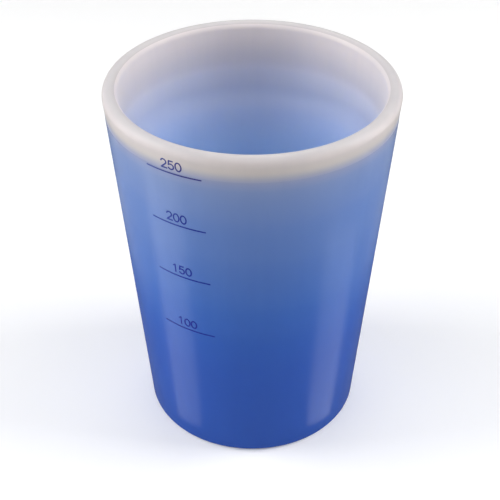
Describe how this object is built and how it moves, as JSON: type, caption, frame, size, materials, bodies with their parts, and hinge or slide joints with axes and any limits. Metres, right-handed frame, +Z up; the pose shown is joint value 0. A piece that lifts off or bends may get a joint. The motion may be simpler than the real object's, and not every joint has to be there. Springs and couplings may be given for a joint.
{
  "type": "measuring beaker",
  "caption": "Tapered translucent plastic measuring beaker with a thick rounded rim, a recessed base and a printed volume scale on one side.",
  "frame": {"origin": "centre of the standing ring, on the surface that the beaker stands on", "axes": "+Z up along the beaker's axis towards its mouth; -Y is the front, and the scale is printed 29.65 degrees from it towards -X"},
  "size_m": [0.0716, 0.0716, 0.0955],
  "materials": {
    "cup_plastic": "milky translucent blue polypropylene with a satin gloss, paler towards the rim",
    "rim_plastic": "thick off-white polypropylene, satin gloss",
    "scale_ink": "printed indigo ink, satin"
  },
  "bodies": {
    "root": {"cup_body": "cup_plastic", "rim_ring": "rim_plastic", "line_250": "scale_ink", "line_200": "scale_ink", "line_150": "scale_ink", "line_100": "scale_ink", "number_250_hundreds": "scale_ink", "number_250_tens": "scale_ink", "number_250_units": "scale_ink", "number_200_hundreds": "scale_ink", "number_200_tens": "scale_ink", "number_200_units": "scale_ink", "number_150_hundreds": "scale_ink", "number_150_tens": "scale_ink", "number_150_units": "scale_ink", "number_100_hundreds": "scale_ink", "number_100_tens": "scale_ink", "number_100_units": "scale_ink"}
  },
  "joints": []
}
